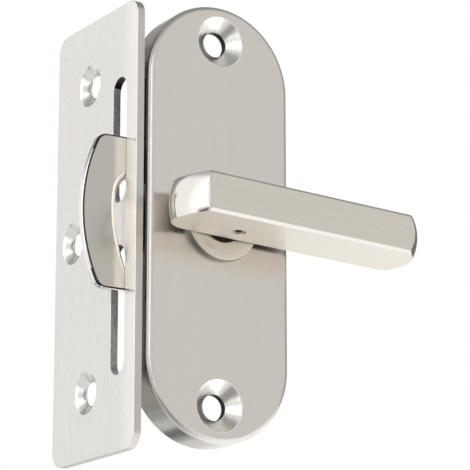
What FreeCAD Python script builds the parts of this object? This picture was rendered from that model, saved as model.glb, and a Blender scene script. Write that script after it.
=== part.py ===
import FreeCAD, Part
import math
import os

# Right angle door latch: a finger lever on a shallow obround case turns a half
# moon hook, which reaches out through an edge plate that stands square to the case.
# Millimetres, +Z up, +Y into the door. The mounting face of the case is Y = 0 and
# the spindle axis is X = 0, Z = 0. The lever points along +X and the hook along -X.

# How far a tool runs past the face that it cuts
cut_margin = 1.0

# Case, a pressed sheet shell that is open towards the door
case_height = 90.0
case_width = 32.7
case_depth = 7.3
case_sheet = 0.8
case_edge_radius = 1.2
case_screw_pitch = 75.0
case_screw_hole = 5.2
case_screw_head = 10.5
case_countersink = 2.2
case_dimple_depth = 3.7
case_dimple_wall = 0.9
notch_above = 27.8
notch_below = 8.5
notch_from_face = 1.5
notch_corner = 1.0

# Backing plate welded behind the face
backing_height = 56.0
backing_thickness = 1.0
backing_side_clearance = 0.4
backing_corner = 4.0

# Bearing of the spindle
spindle_journal = 6.0
spindle_square = 4.2
journal_clearance = 0.03
bush_outer = 9.2
bush_beyond_ring = 0.2
collar_diameter = 17.2
collar_thickness = 1.4
collar_taper = 0.3
ring_width = 1.6
ring_thickness = 0.9
spring_height = 0.7
spring_sheet = 0.3
spring_width = 2.2
thrust_thickness = 0.4
thrust_diameter = 13.2
washer_bore_clearance = 0.15
lever_washer_diameter = 9.6
lever_washer_thickness = 0.25

# Hub, rivets and stops
hub_diameter = 16.0
hub_thickness = 1.0
lug_reach = 12.6
lug_width = 5.0
turn_angle = 88.0
pin_diameter = 2.5
pin_circle = 21.0
pin_stop_gap = 0.1
pin_hook_gap = 0.2
rivet_diameter = 2.4
rivet_circle = 11.6
rivet_count = 3

# Detent spring, a strip on edge beside the hub, and the two dents it drops into
detent_gap = 0.12
detent_sheet = 0.4
detent_length = 15.0
detent_nose = 1.2
detent_dent_depth = 0.5
detent_foot_width = 6.0
detent_foot_height = 4.6
detent_hub_gap = 0.2
detent_plate_gap = 0.15
spring_rivet_diameter = 2.0
spring_rivet_head = 3.4
spring_rivet_head_height = 0.5

# Hook bolt, a half moon plate
hook_thickness = 1.9
hook_reach = 28.4
hook_curve = 33.6
hook_height = 31.4
hook_band = 8.05
throat_curve = 30.3
hook_corner = 2.6
hook_rim_radius = 0.5
hook_hub_diameter = 17.0
throat_top = 7.35
throat_corner = 3.8
throat_edge_radius = 1.8
throat_tip_radius = 1.0
horn_end = 17.3
arm_root = 17.6
arm_bend = 14.6
arm_top = 6.6
arm_bottom = 2.5
arm_overlap = 0.4
arm_shoulder = 0.5
arm_bend_shift = 0.6
arm_rim_angle = 127.0

# Keeper, a thin black strip behind the hook along the notch in the case
keeper_thickness = 0.3
keeper_width = 5.05
keeper_above = 33.0
keeper_below = 22.0

# Lever
lever_reach = 40.3
lever_tail = 15.75
lever_height = 8.1
lever_depth = 14.9
lever_droop = 2.6
lever_boss_height = 0.25
lever_boss_diameter = 7.6
lever_tail_swell = 34.0
lever_tail_crown = 12.0
lever_tail_set = 6.5
lever_tail_corner = 5.5
lever_tip_swell = 12.0
lever_tip_crown = 9.5
lever_tip_set = 1.9
lever_tip_corner = 2.6
lever_front_corner = 0.5
lever_long_bevel = 0.55
lever_back_bevel = 0.3
lever_socket_gap = 0.05
lever_socket_depth = 12.0
spindle_end_gap = 0.4

# Grub screw that clamps the lever on the spindle
grub_diameter = 3.0
grub_from_back = 5.3
grub_sunk = 0.25
grub_socket = 1.5
grub_socket_depth = 1.0
grub_tip = 0.4

# Edge plate with the two slots for the hook
plate_height = 91.0
plate_width = 32.8
plate_thickness = 1.7
plate_corner = 3.3
plate_case_gap = 0.75
plate_front_from_face = 0.9
plate_drop = 1.6
slot_from_front = 4.05
slot_width = 5.45
slot_span = 60.7
bridge_height = 8.8
plate_hole = 4.6
plate_head = 8.7
plate_countersink = 1.45
plate_hole_pitch = 64.0
plate_hole_from_front = 19.25
plate_middle_from_front = 25.5

# Places along the spindle, counted from the mounting face
face_y = -case_depth
face_back_y = face_y + case_sheet
backing_back_y = face_back_y + backing_thickness
ring_back_y = backing_back_y + ring_thickness
bush_back_y = ring_back_y + bush_beyond_ring
spring_back_y = bush_back_y + spring_height
thrust_back_y = spring_back_y + thrust_thickness
hub_back_y = thrust_back_y + hub_thickness
hook_back_y = hub_back_y + hook_thickness
collar_front_y = face_y - collar_thickness
washer_front_y = collar_front_y - lever_washer_thickness
lever_back_y = washer_front_y - lever_boss_height
lever_front_y = lever_back_y - lever_depth
socket_end_y = lever_back_y - lever_socket_depth

# Places of the edge plate
plate_inner_x = -case_width / 2 - plate_case_gap
plate_outer_x = plate_inner_x - plate_thickness
plate_front_y = face_y + plate_front_from_face
plate_z = -plate_drop


def vec(x, y, z):
    return FreeCAD.Vector(x, y, z)


def box(x0, x1, y0, y1, z0, z1):
    return Part.makeBox(x1 - x0, y1 - y0, z1 - z0, vec(x0, y0, z0))


def disc(radius, y0, y1, x=0.0, z=0.0):
    return Part.makeCylinder(radius, y1 - y0, vec(x, y0, z), vec(0, 1, 0))


def ring(outer, inner, y0, y1):
    return disc(outer, y0, y1).cut(disc(inner, y0 - cut_margin, y1 + cut_margin))


def prism_along_y(points, y0, y1):
    wire = Part.makePolygon([vec(x, y0, z) for x, z in points + points[:1]])
    return Part.Face(wire).extrude(vec(0, y1 - y0, 0))


def obround(width, height, y0, y1):
    radius = width / 2
    lift = height / 2 - radius
    bar = box(-radius, radius, y0, y1, -lift, lift)
    bar = bar.fuse(disc(radius, y0, y1, 0, lift)).fuse(disc(radius, y0, y1, 0, -lift))
    return bar.removeSplitter()


def square_bar(side, y0, y1):
    half = side / 2
    return box(-half, half, y0, y1, -half, half)


def drooped(shape):
    turned = shape.copy()
    turned.rotate(vec(0, 0, 0), vec(0, 1, 0), lever_droop)
    return turned


def edges_at(shape, test):
    found = []
    for edge in shape.Edges:
        points = [edge.valueAt(edge.FirstParameter + (edge.LastParameter - edge.FirstParameter) * k / 4)
                  for k in range(5)]
        if all(test(point) for point in points):
            found.append(edge)
    return found


def on(value, target):
    return abs(value - target) < 1e-4


def screw_dimple_solid(z):
    hole = case_screw_hole / 2
    head = case_screw_head / 2
    top = face_y + case_sheet / 2
    low = face_y + case_countersink
    wall = case_dimple_wall
    slope = Part.makeCone(head + wall, hole + wall, low - top, vec(0, top, z), vec(0, 1, 0))
    return slope.fuse(disc(hole + wall, low, face_y + case_dimple_depth, 0, z))


def countersink_cut(hole_radius, head_radius, depth, place, direction, through):
    # The cone starts a little outside the face and keeps its angle
    lead = 0.5
    wide = head_radius + (head_radius - hole_radius) * lead / depth
    start = place - direction * lead
    cone = Part.makeCone(wide, hole_radius, depth + lead, start, direction)
    return cone.fuse(Part.makeCylinder(hole_radius, through + lead, start, direction))


def case_hollow(y0, y1):
    return obround(case_width - 2 * case_sheet, case_height - 2 * case_sheet, y0, y1)


def make_housing_shell():
    shell = obround(case_width, case_height, face_y, 0)
    rim = edges_at(shell, lambda p: on(p.y, face_y))
    shell = shell.makeFillet(case_edge_radius, rim)
    shell = shell.cut(case_hollow(face_back_y, cut_margin))
    for z in (case_screw_pitch / 2, -case_screw_pitch / 2):
        shell = shell.fuse(screw_dimple_solid(z))
    for z in (case_screw_pitch / 2, -case_screw_pitch / 2):
        shell = shell.cut(countersink_cut(case_screw_hole / 2, case_screw_head / 2, case_countersink,
                                          vec(0, face_y, z), vec(0, 1, 0), case_depth))
    shell = shell.cut(disc(bush_outer / 2, face_y - cut_margin, 0))
    left = -case_width / 2
    start = face_y + notch_from_face
    notch = box(left - cut_margin, left + case_sheet + cut_margin, start, cut_margin,
                -notch_below, notch_above)
    corners = edges_at(notch, lambda p: on(p.y, start) and (on(p.z, notch_above) or on(p.z, -notch_below)))
    notch = notch.makeFillet(notch_corner, corners)
    return shell.cut(notch).removeSplitter()


def stop_pin_angle():
    # Turn between the middle of the lug and a pin that it rests on
    reach = lug_width / 2 + pin_diameter / 2 + pin_stop_gap
    return math.degrees(math.asin(reach / (pin_circle / 2)))


def stop_pin_places():
    places = []
    for angle in (-stop_pin_angle(), turn_angle + stop_pin_angle()):
        turn = math.radians(angle)
        places.append((pin_circle / 2 * math.cos(turn), -pin_circle / 2 * math.sin(turn)))
    return places


def make_backing_plate():
    half_width = case_width / 2 - case_sheet - backing_side_clearance
    half_height = backing_height / 2
    plate = box(-half_width, half_width, face_back_y, backing_back_y, -half_height, half_height)
    corners = edges_at(plate, lambda p: on(abs(p.x), half_width) and on(abs(p.z), half_height))
    plate = plate.makeFillet(backing_corner, corners)
    plate = plate.cut(disc(bush_outer / 2, face_back_y - cut_margin, 0))
    for x, z in stop_pin_places():
        plate = plate.cut(disc(pin_diameter / 2, face_back_y - cut_margin, 0, x, z))
    x, z = spring_rivet_place()
    return plate.cut(disc(spring_rivet_diameter / 2, face_back_y - cut_margin, 0, x, z))


def make_rosette_collar():
    base = collar_diameter / 2
    collar = Part.makeCone(base, base - collar_taper, collar_thickness, vec(0, face_y, 0), vec(0, -1, 0))
    return collar.cut(disc(bush_outer / 2, collar_front_y - cut_margin, 0))


def make_spindle_bush():
    bore = spindle_journal / 2 + journal_clearance
    return ring(bush_outer / 2, bore, collar_front_y, bush_back_y)


def make_bush_retaining_ring():
    return ring(bush_outer / 2 + ring_width, bush_outer / 2, backing_back_y, ring_back_y)


def make_spring_washer():
    # A coned disc that bears on the bush at its bore and on the thrust washer at its rim
    inner = spindle_journal / 2 + washer_bore_clearance
    outer = inner + spring_width
    y0 = bush_back_y
    y1 = spring_back_y
    points = [(inner, y0), (inner, y0 + spring_sheet), (outer, y1), (outer, y1 - spring_sheet)]
    wire = Part.makePolygon([vec(x, y, 0) for x, y in points + points[:1]])
    return Part.Face(wire).revolve(vec(0, 0, 0), vec(0, 1, 0), 360)


def make_thrust_washer():
    inner = spindle_journal / 2 + washer_bore_clearance
    return ring(thrust_diameter / 2, inner, spring_back_y, thrust_back_y)


def make_stop_pins():
    end = hub_back_y - pin_hook_gap
    return [disc(pin_diameter / 2, face_back_y, end, x, z) for x, z in stop_pin_places()]


def rivet_places():
    places = []
    for k in range(rivet_count):
        turn = math.radians(90 + 360.0 * k / rivet_count)
        places.append((rivet_circle / 2 * math.cos(turn), rivet_circle / 2 * math.sin(turn)))
    return places


def make_hub_rivets():
    return [disc(rivet_diameter / 2, thrust_back_y, hook_back_y, x, z) for x, z in rivet_places()]


def cut_hub_holes(shape, y0, y1):
    shape = shape.cut(square_bar(spindle_square, y0 - cut_margin, y1 + cut_margin))
    for x, z in rivet_places():
        shape = shape.cut(disc(rivet_diameter / 2, y0 - cut_margin, y1 + cut_margin, x, z))
    return shape


def detent_nose_place():
    # Middle of the round nose, above the rim of the hub
    return hub_diameter / 2 + detent_gap + detent_nose


def make_detent_spring():
    low = detent_nose_place()
    end = hub_back_y - detent_hub_gap
    start = backing_back_y + detent_plate_gap
    strip = box(-detent_length / 2, detent_length / 2, start, end, low, low + detent_sheet)
    nose = disc(detent_nose, start, end, 0, low)
    inner = disc(detent_nose - detent_sheet, start - cut_margin, end + cut_margin, 0, low)
    below = box(-detent_length, detent_length, start - cut_margin, end + cut_margin,
                low - 2 * detent_nose, low)
    nose = nose.common(below)
    x0 = detent_length / 2 - detent_sheet
    x1 = x0 + detent_foot_width
    leg = box(x0, detent_length / 2, backing_back_y, end, low, low + detent_sheet)
    foot = box(x0, x1, backing_back_y, backing_back_y + detent_sheet, low, low + detent_foot_height)
    spring = strip.fuse(nose).cut(inner).fuse(leg).fuse(foot)
    x, z = spring_rivet_place()
    return spring.cut(disc(spring_rivet_diameter / 2, face_y, 0, x, z)).removeSplitter()


def spring_rivet_place():
    x = detent_length / 2 - detent_sheet + detent_foot_width / 2
    return x, detent_nose_place() + detent_foot_height / 2


def make_spring_rivet():
    x, z = spring_rivet_place()
    seat = backing_back_y + detent_sheet
    stem = disc(spring_rivet_diameter / 2, face_back_y, seat, x, z)
    return stem.fuse(disc(spring_rivet_head / 2, seat, seat + spring_rivet_head_height, x, z))


def make_drive_hub():
    hub = disc(hub_diameter / 2, thrust_back_y, hub_back_y)
    reach = hub_diameter / 2 - detent_dent_depth + detent_nose
    for turn in (0, -turn_angle):
        angle = math.radians(90 - turn)
        x = reach * math.cos(angle)
        z = reach * math.sin(angle)
        hub = hub.cut(disc(detent_nose, thrust_back_y - cut_margin, hub_back_y + cut_margin, x, z))
    lug = box(0, lug_reach, thrust_back_y, hub_back_y, -lug_width / 2, lug_width / 2)
    hub = hub.fuse(lug).removeSplitter()
    return cut_hub_holes(hub, thrust_back_y, hub_back_y)


def make_hook_bolt():
    y0 = hub_back_y
    y1 = hook_back_y
    before = y0 - cut_margin
    after = y1 + cut_margin
    half = hook_height / 2
    hub = hook_hub_diameter / 2
    # Half moon between two level edges
    moon = disc(hook_curve, y0, y1, hook_curve - hook_reach, 0)
    moon = moon.common(box(-hook_reach - cut_margin, -arm_root + cut_margin, before, after, -half, half))
    corner_x = hook_curve - hook_reach - math.sqrt(hook_curve ** 2 - half ** 2)
    corners = edges_at(moon, lambda p: on(p.x, corner_x) and on(abs(p.z), half))
    moon = moon.makeFillet(hook_corner, corners)
    moon = moon.makeFillet(hook_rim_radius, edges_at(moon, lambda p: on(p.y, y0) or on(p.y, y1)))
    moon = moon.cut(box(-arm_root, 0, before, after, -hook_height, hook_height))
    # Throat round the bridge of the edge plate, open towards the spindle
    crest = hook_reach - hook_band
    throat = disc(throat_curve, before, after, throat_curve - crest, 0)
    throat = throat.common(box(-crest - cut_margin, 0, before, after, -hook_height, throat_top))
    peak_x = throat_curve - crest - math.sqrt(throat_curve ** 2 - throat_top ** 2)
    peak = edges_at(throat, lambda p: on(p.x, peak_x) and on(p.z, throat_top))
    throat = throat.makeFillet(throat_corner, peak)
    moon = moon.cut(throat).cut(box(-horn_end, 0, before, after, -hook_height, 0))
    # The front edge of the throat is rounded off, most at its top and least at the tip
    centre_x = throat_curve - crest
    arc = edges_at(moon, lambda p: on(p.y, y0) and on(math.hypot(p.x - centre_x, p.z), throat_curve))
    moon = moon.makeFillet(throat_tip_radius, throat_edge_radius, arc)
    # Arm from the upper end of the half moon, stepped down to a point on the hub's rim
    root = -arm_root - arm_overlap
    rim = math.radians(arm_rim_angle)
    arm = prism_along_y([(root, half), (-arm_root + arm_shoulder, half), (-arm_bend, arm_top),
                         (hub * math.cos(rim), hub * math.sin(rim)), (0, 0), (-hub, 0),
                         (-arm_bend + arm_bend_shift, arm_bottom), (root, throat_top)], y0, y1)
    hook = moon.fuse(arm).fuse(disc(hub, y0, y1)).removeSplitter()
    return cut_hub_holes(hook, y0, y1)


def make_hook_keeper():
    # Lies against the inner wall of the case, flush with the mounting face
    left = -case_width / 2
    x1 = left + case_sheet + keeper_width
    strip = box(left, x1, -keeper_thickness, 0, -keeper_below, keeper_above)
    return strip.common(case_hollow(face_back_y, 0))


def make_spindle():
    journal = disc(spindle_journal / 2, washer_front_y, thrust_back_y)
    rear = square_bar(spindle_square, thrust_back_y, hook_back_y)
    front = drooped(square_bar(spindle_square, socket_end_y + spindle_end_gap, washer_front_y))
    return journal.fuse(rear).fuse(front)


def swelled_end(end_x, plan_radius, crown, offset, side):
    # Barrel that rounds one end of the lever both in plan and across its height
    half = lever_height / 2
    middle_y = (lever_back_y + lever_front_y) / 2 + offset
    rise = half + cut_margin
    far = crown - math.sqrt(crown ** 2 - rise ** 2)
    arc = Part.Arc(vec(plan_radius - far, 0, -rise), vec(plan_radius, 0, 0),
                   vec(plan_radius - far, 0, rise)).toShape()
    top = Part.makeLine(vec(plan_radius - far, 0, rise), vec(0, 0, rise))
    core = Part.makeLine(vec(0, 0, rise), vec(0, 0, -rise))
    low = Part.makeLine(vec(0, 0, -rise), vec(plan_radius - far, 0, -rise))
    barrel = Part.Face(Part.Wire([arc, top, core, low])).revolve(vec(0, 0, 0), vec(0, 0, 1), 360)
    barrel.translate(vec(end_x - side * plan_radius, middle_y, 0))
    return barrel


def make_lever_handle():
    half = lever_height / 2
    bar = lever_blank()
    boss = disc(lever_boss_diameter / 2, lever_back_y - lever_back_bevel, washer_front_y)
    bar = bar.fuse(boss)
    socket = square_bar(spindle_square + 2 * lever_socket_gap, socket_end_y, washer_front_y + cut_margin)
    bar = bar.cut(socket)
    start = vec(0, lever_back_y - grub_from_back, -half - cut_margin)
    thread = Part.makeCylinder(grub_diameter / 2, half + cut_margin, start, vec(0, 0, 1))
    return drooped(bar.cut(thread))


def lever_half(end_x, plan_radius, crown, offset, side):
    # One half of the bar, from the middle of its length to the swelled end
    half = lever_height / 2
    middle = (lever_reach - lever_tail) / 2
    x0, x1 = sorted((middle, end_x))
    block = box(x0, x1, lever_front_y, lever_back_y, -half, half)
    # The barrel's own axis, from which a plain core reaches the middle
    x0, x1 = sorted((middle, end_x - side * plan_radius))
    core = box(x0, x1, lever_front_y - cut_margin, lever_back_y + cut_margin, -half, half)
    return block.common(swelled_end(end_x, plan_radius, crown, offset, side).fuse(core))


def end_edges(bar, y, side):
    # The upright edge where the swelled end on this side meets the face at this depth
    found = []
    for edge in edges_at(bar, lambda p: on(p.y, y) and p.x * side > 0):
        rise = edge.valueAt(edge.FirstParameter).z - edge.valueAt(edge.LastParameter).z
        if abs(rise) > lever_height / 2:
            found.append(edge)
    return found


def lever_blank():
    half = lever_height / 2
    tail = lever_half(-lever_tail, lever_tail_swell, lever_tail_crown, lever_tail_set, -1)
    tip = lever_half(lever_reach, lever_tip_swell, lever_tip_crown, lever_tip_set, 1)
    bar = tail.fuse(tip).removeSplitter()
    for side, corner in ((-1, lever_tail_corner), (1, lever_tip_corner)):
        bar = bar.makeFillet(lever_front_corner, end_edges(bar, lever_front_y, side))
        bar = bar.makeFillet(corner, end_edges(bar, lever_back_y, side))
    bevel = lever_long_bevel
    small = lever_back_bevel
    f = lever_front_y
    b = lever_back_y
    section = [(f, -half + bevel), (f, half - bevel), (f + bevel, half), (b - small, half),
               (b, half - small), (b, -half + small), (b - small, -half), (f + bevel, -half)]
    start = -lever_tail - cut_margin
    wire = Part.makePolygon([vec(start, y, z) for y, z in section + section[:1]])
    return bar.common(Part.Face(wire).extrude(vec(lever_reach + cut_margin - start, 0, 0)))


def make_lever_grub_screw():
    top = -spindle_square / 2
    low = -lever_height / 2 + grub_sunk
    y = lever_back_y - grub_from_back
    up = vec(0, 0, 1)
    radius = grub_diameter / 2
    screw = Part.makeCylinder(radius, top - grub_tip - low, vec(0, y, low), up)
    screw = screw.fuse(Part.makeCone(radius, radius - grub_tip, grub_tip, vec(0, y, top - grub_tip), up))
    across = grub_socket / math.sqrt(3)
    points = []
    for k in range(7):
        turn = math.radians(60 * k)
        points.append(vec(across * math.cos(turn), y + across * math.sin(turn), low - cut_margin))
    hexagon = Part.Face(Part.makePolygon(points)).extrude(vec(0, 0, cut_margin + grub_socket_depth))
    return drooped(screw.cut(hexagon))


def make_lever_washer():
    inner = spindle_journal / 2 + washer_bore_clearance
    return ring(lever_washer_diameter / 2, inner, washer_front_y, collar_front_y)


def slot_cut(z0, z1):
    radius = slot_width / 2
    y0 = plate_front_y + slot_from_front
    x0 = plate_outer_x - cut_margin
    depth = plate_thickness + 2 * cut_margin
    cut = box(x0, x0 + depth, y0, y0 + slot_width, z0 + radius, z1 - radius)
    for z in (z0 + radius, z1 - radius):
        cut = cut.fuse(Part.makeCylinder(radius, depth, vec(x0, y0 + radius, z), vec(1, 0, 0)))
    return cut


def make_strike_plate():
    y0 = plate_front_y
    half = plate_height / 2
    plate = box(plate_outer_x, plate_inner_x, y0, y0 + plate_width, plate_z - half, plate_z + half)
    corners = edges_at(plate, lambda p: (on(p.y, y0) or on(p.y, y0 + plate_width))
                       and on(abs(p.z - plate_z), half))
    plate = plate.makeFillet(plate_corner, corners)
    plate = plate.cut(slot_cut(plate_z + bridge_height / 2, plate_z + slot_span / 2))
    plate = plate.cut(slot_cut(plate_z - slot_span / 2, plate_z - bridge_height / 2))
    places = [(plate_hole_from_front, plate_hole_pitch / 2), (plate_hole_from_front, -plate_hole_pitch / 2),
              (plate_middle_from_front, 0)]
    for y, z in places:
        plate = plate.cut(countersink_cut(plate_hole / 2, plate_head / 2, plate_countersink,
                                          vec(plate_outer_x, y0 + y, plate_z + z), vec(1, 0, 0),
                                          plate_thickness + cut_margin))
    return plate


def save(name, shapes):
    if isinstance(shapes, list):
        shape = Part.makeCompound(shapes)
    else:
        shape = shapes
    if not shape.isValid():
        raise ValueError(name + " is not valid")
    shape.exportStep("parts/" + name + ".step")
    limits = shape.BoundBox
    sizes = [round(v, 2) for v in (limits.XLength, limits.YLength, limits.ZLength)]
    print(name, "solids", len(shape.Solids), "volume", round(shape.Volume, 2), "box", sizes)


def main():
    os.makedirs("parts", exist_ok=True)
    save("housing_shell", make_housing_shell())
    save("backing_plate", make_backing_plate())
    save("rosette_collar", make_rosette_collar())
    save("spindle_bush", make_spindle_bush())
    save("bush_retaining_ring", make_bush_retaining_ring())
    save("spring_washer", make_spring_washer())
    save("thrust_washer", make_thrust_washer())
    save("stop_pins", make_stop_pins())
    save("detent_spring", make_detent_spring())
    save("spring_rivet", make_spring_rivet())
    save("hook_keeper", make_hook_keeper())
    save("strike_plate", make_strike_plate())
    save("lever_handle", make_lever_handle())
    save("lever_grub_screw", make_lever_grub_screw())
    save("lever_washer", make_lever_washer())
    save("spindle", make_spindle())
    save("drive_hub", make_drive_hub())
    save("hub_rivets", make_hub_rivets())
    save("hook_bolt", make_hook_bolt())


main()
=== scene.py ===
import math

import bmesh
import bpy
from mathutils import Matrix, Vector


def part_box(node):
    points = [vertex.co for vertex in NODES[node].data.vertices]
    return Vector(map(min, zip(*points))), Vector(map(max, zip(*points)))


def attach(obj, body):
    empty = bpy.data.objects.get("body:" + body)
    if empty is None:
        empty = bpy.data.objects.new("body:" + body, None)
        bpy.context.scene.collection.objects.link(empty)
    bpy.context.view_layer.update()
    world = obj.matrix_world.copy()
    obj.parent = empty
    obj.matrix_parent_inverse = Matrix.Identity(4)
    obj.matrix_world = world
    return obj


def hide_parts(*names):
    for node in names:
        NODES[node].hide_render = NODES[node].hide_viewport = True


bl_info = {
    "name": "Right Angle Door Latch",
    "version": (1, 0, 0),
    "blender": (4, 5, 0),
    "location": "3D View > Sidebar > Latch",
    "description": "Dresses the packed model of a steel door latch and sets a plain studio round it",
    "category": "Object",
}

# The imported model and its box
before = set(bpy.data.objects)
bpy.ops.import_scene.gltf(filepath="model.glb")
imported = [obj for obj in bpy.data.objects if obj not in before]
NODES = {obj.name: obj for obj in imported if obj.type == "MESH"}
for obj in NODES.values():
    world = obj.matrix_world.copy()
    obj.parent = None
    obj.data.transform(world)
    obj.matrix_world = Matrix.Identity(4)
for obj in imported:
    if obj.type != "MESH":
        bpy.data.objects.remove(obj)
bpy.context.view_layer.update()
CASE_BODY = "case"
TURNING_BODY = "lever_and_hook"

# Axes, as numbers for the patterns and as directions for the brush lines
X, Y, Z = 0, 1, 2
RIGHT = Vector((1.0, 0.0, 0.0))
INWARD = Vector((0.0, 1.0, 0.0))
MM = 0.001

# Places on the real latch, in metres: the spindle axis is X = 0, Z = 0, the door is at Y = 0
CASE_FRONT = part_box("housing_shell")[0].y
LEVER_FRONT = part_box("lever_handle")[0].y
PLATE_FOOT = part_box("strike_plate")[0].z
ON_FRONT = 0.00001

# The case: its screws and what their countersinks take up, the middle of its round ends and the
# depth of its buffed rim
CASE_SCREWS = ((0.0, 0.0, 0.0375), (0.0, 0.0, -0.0375))
CASE_SINK_RADIUS = 0.0054
CASE_END_MIDDLE = 0.02865
CASE_RIM_DEPTH = 0.0013

# The edge plate: its screws, the middle of its slots and what they take up, and the strip along
# its front edge whose colour is painted lighter, a painted highlight
PLATE_SCREWS = ((0.0, 0.01285, 0.0304), (0.0, 0.01285, -0.0336), (0.0, 0.0191, -0.0016))
PLATE_SINK_RADIUS = 0.0046
SLOT_MIDDLE_Y = 0.0003
SLOT_MIDDLE_Z = -0.0016
SLOT_HALF_WIDTH = 0.0031
SLOT_HALF_LENGTH = 0.0306
HIGHLIGHT_START = -0.0005
HIGHLIGHT_END = -0.0045
HIGHLIGHT_GAIN = 1.13

# The hook: the circle that its throat lies in, and half the height of the throat
THROAT_CENTRE_X = 0.00995
THROAT_RADIUS = 0.0323
THROAT_HALF = 0.0144

# The lever: the droop of its bar, and the square hole for the spindle
LEVER_DROOP = math.radians(2.6)
LEVER_HOLE_HALF = 0.0022
LEVER_HOLE_BACK = -0.0093

# Mesh work
MERGE_DISTANCE = 2e-6
LEVEL_ANGLE = math.radians(0.05)
ROUNDED_ANGLE = math.radians(28.0)
SHARP_ANGLE = math.radians(32.0)
ROUNDING_STEPS = 3
FACE_WEIGHT = 90
MAP_SCALE = 100.0
PIN_SIDES = 40

# Brushed metal: the wide bands among the fine lines, and their share of the pattern
BAND_WIDTH = 9.0
BAND_SHARE = 0.4

# Turned rings on the spindle axis. Each has its piece, CAD node, body and slot, the number of sides
# and the corners of its section as radius and depth in millimetres: outer front, outer back,
# inner back and inner front
RINGS = (
    ("collar", "rosette_collar", CASE_BODY, "collar_steel", 144,
     ((8.3, -8.7), (8.6, -7.3), (4.6, -7.3), (4.6, -8.7))),
    ("bush", "spindle_bush", CASE_BODY, "bush_brass", 72,
     ((4.6, -8.7), (4.6, -4.4), (3.03, -4.4), (3.03, -8.7))),
    ("bush_ring", "bush_retaining_ring", CASE_BODY, "inner_steel", 72,
     ((6.2, -5.5), (6.2, -4.6), (4.6, -4.6), (4.6, -5.5))),
    ("coned_washer", "spring_washer", CASE_BODY, "spring_steel", 72,
     ((5.35, -4.0), (5.35, -3.7), (3.15, -4.1), (3.15, -4.4))),
    ("flat_washer", "thrust_washer", CASE_BODY, "inner_steel", 72,
     ((6.6, -3.7), (6.6, -3.3), (3.15, -3.3), (3.15, -3.7))),
    ("black_washer", "lever_washer", TURNING_BODY, "washer_nylon", 96,
     ((4.8, -8.95), (4.8, -8.7), (3.15, -8.7), (3.15, -8.95))),
)
RING_CORNERS = ("Outer Front", "Outer Back", "Inner Back", "Inner Front")

# Ground pins on a circle round the spindle axis. Each group has its piece, CAD node, body and slot,
# the number of pins, the radius of the circle, the first angle and the step in degrees, then the
# radius of a pin and the depth of its two ends, in millimetres
PIN_GROUPS = (
    ("hub_rivet_set", "hub_rivets", TURNING_BODY, "pin_steel", 3, 5.8, 90.0, 120.0, 1.2, -3.3, -0.4),
    ("stop_pin_set", "stop_pins", CASE_BODY, "pin_steel", 2, 10.5, 21.51, -131.02, 1.25, -6.5, -2.5),
)

# What the metal sees round it. Each card has its bearing from the door side towards the right,
# its rise, half its width, half its height and the softness of its border in degrees, and its level
ROOM = (
    ("ceiling", 0, 90, 200, 42, 9, 0.38),
    ("right wall", 78, 22, 38, 30, 7, 0.43),
    ("right wall shade", 60, 20, 18, 26, 8, 0.22),
    ("table on the right", 95, -47, 62, 43, 3, 1.44),
    ("back wall", 1, 8, 40, 19, 4, 0.96),
    ("back wall shade", -2, 44, 40, 17, 5, 0.38),
    ("table edge", -10, -33, 30, 9, 4, 0.42),
    ("table edge light", -3, -31, 6, 8, 2.5, 0.72),
    ("table edge shade", 9, -31, 5, 8, 2.5, 0.20),
    ("table on the left", -66, -27, 32, 15, 4, 0.82),
    ("floor shade", -140, -46, 32, 22, 7, 0.33),
    ("soft box", -71, 12, 32, 28, 3.5, 1.33),
    ("soft box middle", -87, 14, 22, 23, 5, 1.70),
    ("dark seam", -42.5, 0, 6, 22, 2, 0.22),
    ("dark spot", -75, -13, 5, 6, 3, 0.13),
    ("light strip", -134, 15, 16, 12, 5, 2.00),
    ("pale screen", -149, -16, 11, 7, 3, 1.50),
    ("dark gap", -107, 13, 9, 32, 2.5, 0.30),
)

# The soft lamps, aimed at the spindle, with place, width and height in metres, and half the width
# of the square floor
LAMPS = (
    ("lamp_left", (-0.9, 0.05, 0.25), 0.5, 0.6),
    ("lamp_top", (0.1, -0.3, 0.9), 0.6, 0.5),
)
FLOOR_HALF = 0.8

# The camera stands low on the left in front and looks up a little, with a long lens
CAMERA_TURN = math.radians(32.276)
CAMERA_RISE = math.radians(14.657)
CAMERA_TARGET = Vector((0.003556, -0.0073, -0.002499))
CAMERA_DISTANCE = 0.492
CAMERA_LENS = 188.9
CAMERA_SENSOR = 36.0


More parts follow.
